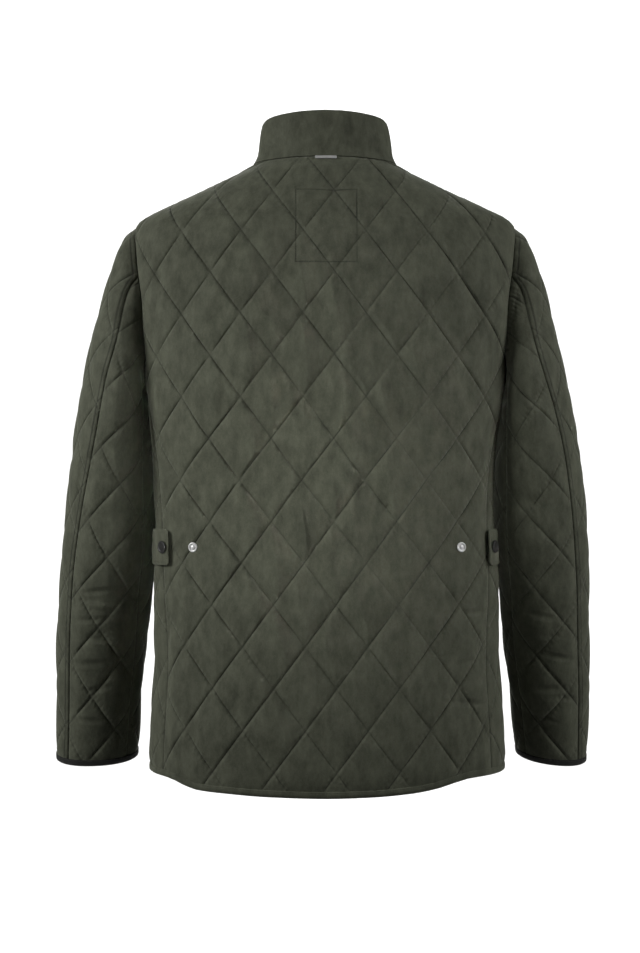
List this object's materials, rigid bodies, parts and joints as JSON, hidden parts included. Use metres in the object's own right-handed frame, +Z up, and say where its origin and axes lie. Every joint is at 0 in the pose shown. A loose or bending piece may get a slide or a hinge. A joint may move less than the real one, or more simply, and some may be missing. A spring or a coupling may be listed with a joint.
{
  "type": "quilted jacket",
  "caption": "Hip-length olive diamond-quilted jacket with stand collar, side tabs with snaps and a front zip, filled out, hollow",
  "frame": {"origin": "centre of the neck opening at the height of the collar seam at the back of the neck, where the wearer's neck and shoulders hold the jacket", "axes": "+Z up, +Y towards the wearer's back, +X towards the image's left when the back is seen, which is the wearer's left side"},
  "size_m": [0.6855, 0.2839, 0.8462],
  "materials": {
    "quilted": "matte",
    "plain_cloth": "matte",
    "self_binding": "matte",
    "black_binding": "matte",
    "zip_tape": "matte",
    "dark_metal": "satin",
    "silver_metal": "satin"
  },
  "bodies": {
    "jacket": {"back": "quilted", "front_left": "quilted", "front_right": "quilted", "upper_sleeve_left": "quilted", "upper_sleeve_right": "quilted", "under_sleeve_left": "quilted", "under_sleeve_right": "quilted", "collar": "plain_cloth", "hem_binding": "self_binding", "cuff_binding_left": "black_binding", "cuff_binding_right": "black_binding", "tab_left": "plain_cloth", "tab_right": "plain_cloth", "tab_snap_left": "dark_metal", "tab_snap_right": "dark_metal", "back_snap_left": "silver_metal", "back_snap_right": "silver_metal", "neck_bar": "silver_metal", "zip_tape_left": "zip_tape", "zip_tape_right": "zip_tape", "zip_chain": "dark_metal", "zip_slider": "silver_metal"},
    "pull": {"zip_pull": "silver_metal"}
  },
  "joints": [
    {"name": "zip_pull", "type": "hinge", "parent": "jacket", "child": "pull", "pos_m": [0, -0.07989, -0.00892], "axis": [-1, 0, 0], "range_deg": [0, 165]}
  ]
}
